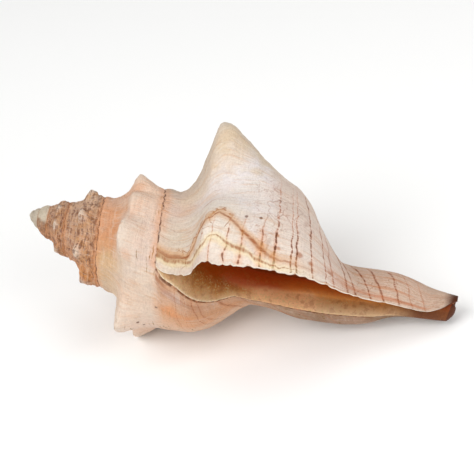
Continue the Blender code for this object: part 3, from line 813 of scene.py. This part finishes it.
def readShell(paint):  # what the shell's own attributes and the noises say at each point
    shell = SimpleNamespace(all=1.0)
    shell.age, shell.place, shell.depth = paint.facts("growth")
    shell.kind, shell.rise, _ = paint.facts("finish")
    shell.older, shell.newer, shell.teeth = paint.facts("marks")
    for name, (perTurn, perMm, seed, detail, rough) in patterns["along"].items():
        vector = paint.join(shell.age * perTurn, shell.place * perMm, seed)
        setattr(shell, name, paint.noise(vector, 1.0, detail, rough))
    spot = paint.node("ShaderNodeTexCoord", {}, {}, "Object")
    for name, (perMetre, detail, rough) in patterns["through"].items():
        setattr(shell, name, paint.noise(spot, perMetre, detail, rough))
    shell.waver = shell.waver - 0.5
    for name, (fact, amount) in patterns["moved"].items():
        setattr(shell, name, getattr(shell, fact) + shell.waver * amount)

    shell.old = bounded(paint, shell, [("age", 1.62, 1.95), ("age", 4.02, 3.96)])
    shell.middle = bounded(paint, shell, [("age", 0.8, 1.05), ("age", 4.02, 3.96)])
    shell.mature = paint.step(shell.age, 0.5, 1.0)
    shell.craggy = paint.step(shell.crags, 0.42, 0.54)
    shell.grown = paint.step(shell.growthLines, 0.4, 0.6)
    shell.threaded = paint.step(shell.threads, 0.4, 0.6)
    shell.clods = shell.crags * 0.4 + shell.clumps * 0.6
    shell.bothGrowths = shell.broadGrowth * 0.5 + shell.growthLines * 0.5
    return shell


def readLines(paint, shell):  # the suture, the cracks, the spiral lines and the old edges of the lip
    closed = paint.step(shell.age, 0.985, 1.0)
    shell.warm = bounded(paint, shell, [("creasePlace", 55.5, 51.0), ("age", 0.03, 0.12)])
    shell.warm = shell.warm + paint.step(shell.creasePlace, 85.5, 91.0) * closed
    # Seam: the suture's own line plus painted shade darkening its crevice.
    shell.seam = paint.step(shell.seamPlace, 51.0, 50.5) + paint.step(shell.seamPlace, 91.5, 92.0) * closed

    network = paint.join(shell.age * 44 + shell.waver * 2.4, shell.place * 0.19 + shell.waver * 1.2, 0.0)
    settings, sockets = {"feature": "DISTANCE_TO_EDGE"}, {"Vector": network, "Scale": 1.0}
    shell.toCrack = paint.node("ShaderNodeTexVoronoi", settings, sockets, "Distance")
    between = bounded(paint, shell, [("place", 84.0, 74.0), ("place", 57.0, 60.0)])
    between = between * paint.step(abs(shell.older + 0.4), 5.5, 2.5)
    onFace = bounded(paint, shell, [("place", 80.0, 88.0), ("age", 0.3, 0.12), ("blotches", 0.4, 0.52)])
    shell.cracked = between + onFace * 0.5

    slanted = shell.age * 15 * paint.step(shell.place, 94.0, 108.0)
    wavy = shell.linePlace + (shell.threads - 0.5) * 0.5 + slanted
    farLines = bounded(paint, shell, [("place", 90.0, 95.0), ("age", 0.26, 0.1)]) * 0.7
    bodyLines = lineRamp(paint, wavy, spiralLines["body"]) * (paint.step(shell.age, 0.085, 0.03) + farLines)
    canalShare = paint.step(shell.age, 0.34, 0.16) + paint.step(shell.age, 0.72, 0.84) * 0.6
    canalLines = lineRamp(paint, wavy, spiralLines["canal"]) * canalShare
    shell.lines = (bodyLines + canalLines) * (0.35 + 1.1 * paint.step(shell.growthLines, 0.35, 0.6))
    shell.smears = lineRamp(paint, shell.linePlace, spiralLines["smears"])
    hairAge = shell.age + shell.waver * 0.02 + (shell.place - 60) * 0.0012
    shell.hairs = lineRamp(paint, hairAge, growthHairs)

    wide = 0.4 + 0.9 * paint.step(shell.blotches, 0.38, 0.6)
    edgeWaver, haloWaver = shell.waver * finish["edgeWaver"], shell.waver * finish["haloWaver"]
    shell.toOlder = abs(shell.older + edgeWaver) / wide
    shell.toNewer = abs(shell.newer + edgeWaver) / wide
    shell.olderHalo = abs(shell.older - 0.4 + haloWaver)
    shell.newerHalo = abs(shell.newer + 0.3 + haloWaver)


def paintOutside(paint, shell):
    slope = paint.ramp(shell.toneAge, tones["slope"], 0.0, finish["oldestTone"])
    front = paint.ramp(shell.toneAge, tones["front"], 0.0, finish["oldestTone"])
    base = paint.ramp(shell.baseAge, tones["base"], 0.0, 1.0)
    skin = paint.mix(paint.step(shell.frontPlace, 58.0, 74.0), slope, front)
    skin = paint.mix(bounded(paint, shell, [("place", 88.0, 97.0), ("age", 1.02, 0.99)]), skin, base)
    skin = layOver(paint, shell, skin, "ground")
    for at, along, radius, strength, tone in patches:
        offset = ((shell.age - at) * finish["patchGirth"]) ** 2 + (shell.place - along) ** 2
        share = paint.step(offset.sum("SQRT") / radius + shell.waver * 1.4, 1.15, 0.35)
        skin = paint.mix(share * strength, skin, tones[tone])
    for name in ("texture", "suture", "lines", "oldEdges"):
        skin = layOver(paint, shell, skin, name)
    return skin


def paintHollow(paint, shell):
    deepest = finish["deepestTone"]
    # Painted shade: these tones darken with depth behind the lip, over the hollow's own colour.
    roof = paint.ramp(shell.roofDepth, tones["roof"], 0.0, deepest)
    floor = paint.ramp(shell.ragged, tones["floor"], 0.0, deepest)
    canalFloor = paint.ramp(shell.ragged, tones["canalFloor"], 0.0, deepest)
    floor = paint.mix(paint.step(shell.floorPlace, 119.0, 127.0) * 0.9, floor, canalFloor)
    floor = layOver(paint, shell, floor, "floor")
    return paint.mix(paint.step(shell.kind, 1.4, 1.6), roof, floor)


def shellFinish():
    paint = Paint("shellFinish")
    shell = readShell(paint)
    readLines(paint, shell)
    uneven = shell.waver * 18 + (shell.crags - 0.5) * 8
    shell.ragged = shell.depth + uneven * paint.step(shell.depth, 0.5, 8.0)

    isHollow = bounded(paint, shell, [("kind", 0.4, 0.6), ("kind", 2.6, 2.4)])
    skin = paint.mix(isHollow, paintOutside(paint, shell), paintHollow(paint, shell))
    skin = paint.mix(paint.step(shell.kind, 2.4, 2.6), skin, layOver(paint, shell, tones["cream"], "rim"))
    grainShare = paint.step(shell.grain, 0.35, 0.7) * finish["grainShade"]
    skin = paint.mix(grainShare, skin, tones["darkBrown"], "MULTIPLY")
    # Painted light: the hollow glows, more strongly deeper in.
    paintedGlow = paint.ramp(shell.ragged, tones["paintedGlow"], 0.0, finish["deepestTone"])
    paintedGlow = paint.mix(isHollow, (0, 0, 0), paintedGlow)

    height = weighted(shell, finish["outsideBumps"]) + weighted(shell, finish["olderBumps"]) * shell.old
    height = height * (1 - isHollow) + weighted(shell, finish["allBumps"])
    sockets = {"Strength": finish["bumpStrength"], "Distance": finish["bumpHeight"], "Height": height}
    bump = paint.node("ShaderNodeBump", {}, sockets, "Normal")
    rough = finish["rough"] + finish["roughLines"] * shell.growthLines - finish["polished"] * isHollow
    ends = {"Base Color": skin, "Normal": bump, "Roughness": rough, "Emission Color": paintedGlow}
    for name, value in ends.items():
        paint.tree.links.new(value.socket, paint.surface.inputs[name])
    paint.surface.inputs["Specular IOR Level"].default_value = finish["specular"]
    paint.surface.inputs["Emission Strength"].default_value = finish["paintedGlow"]
    return paint.material


studio = {
    "cameraAt": (0.210696, -0.427280, 0.383526),
    "cameraRight": (0.933580, 0.296519, -0.201256),
    "cameraUp": (-0.028464, 0.621169, 0.783159),
    "lens": 129.1,
    "floorSize": 3.0,
    "floorTone": (252, 252, 251),
    "sky": 0.38,
    # name, place, size, watts
    "lamps": [("keyLamp", (-0.28, -0.5, 0.72), 0.8, 5.6), ("fillLamp", (0.75, -0.3, 0.45), 0.7, 3.7),
              ("topLamp", (0.15, 0.2, 0.95), 0.8, 1.7)],
}


def setStudio():
    bm = bmesh.new()
    bmesh.ops.create_grid(bm, x_segments=1, y_segments=1, size=studio["floorSize"])
    mesh = bpy.data.meshes.new("studioFloor")
    bm.to_mesh(mesh)
    bm.free()
    ground = bpy.data.objects.new("studioFloor", mesh)
    bpy.context.collection.objects.link(ground)
    paint = Paint("paleFloor")
    paint.surface.inputs["Base Color"].default_value = tint(studio["floorTone"])
    paint.surface.inputs["Roughness"].default_value = 0.9
    mesh.materials.append(paint.material)

    for name, at, size, watts in studio["lamps"]:
        light = bpy.data.lights.new(name, "AREA")
        light.shape = "DISK"
        light.size = size
        light.energy = watts
        lamp = bpy.data.objects.new(name, light)
        lamp.location = at
        lamp.rotation_euler = (Vector((0, 0, 0.03)) - Vector(at)).to_track_quat("-Z", "Y").to_euler()
        bpy.context.collection.objects.link(lamp)
    world = bpy.data.worlds.new("softRoom")
    world.use_nodes = True
    world.node_tree.nodes["Background"].inputs["Color"].default_value = (1, 1, 1, 1)
    world.node_tree.nodes["Background"].inputs["Strength"].default_value = studio["sky"]
    bpy.context.scene.world = world
    bpy.context.scene.view_settings.view_transform = "Standard"

    lens = bpy.data.cameras.new("photoCamera")
    lens.sensor_width = 36.0
    lens.lens = studio["lens"]
    lens.clip_start = 0.01
    camera = bpy.data.objects.new("photoCamera", lens)
    right, up = Vector(studio["cameraRight"]), Vector(studio["cameraUp"])
    turned = Matrix((right, up, right.cross(up))).transposed().to_4x4()
    camera.matrix_world = Matrix.Translation(studio["cameraAt"]) @ turned
    bpy.context.collection.objects.link(camera)
    bpy.context.scene.camera = camera


setStudio()
print("studio set")
skin = buildShell()
print("shell built, triangles", sum(len(p.vertices) - 2 for p in skin.data.polygons))
skin.data.materials.append(shellFinish())
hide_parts("shell")
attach(skin, "root")
print("shell finished")
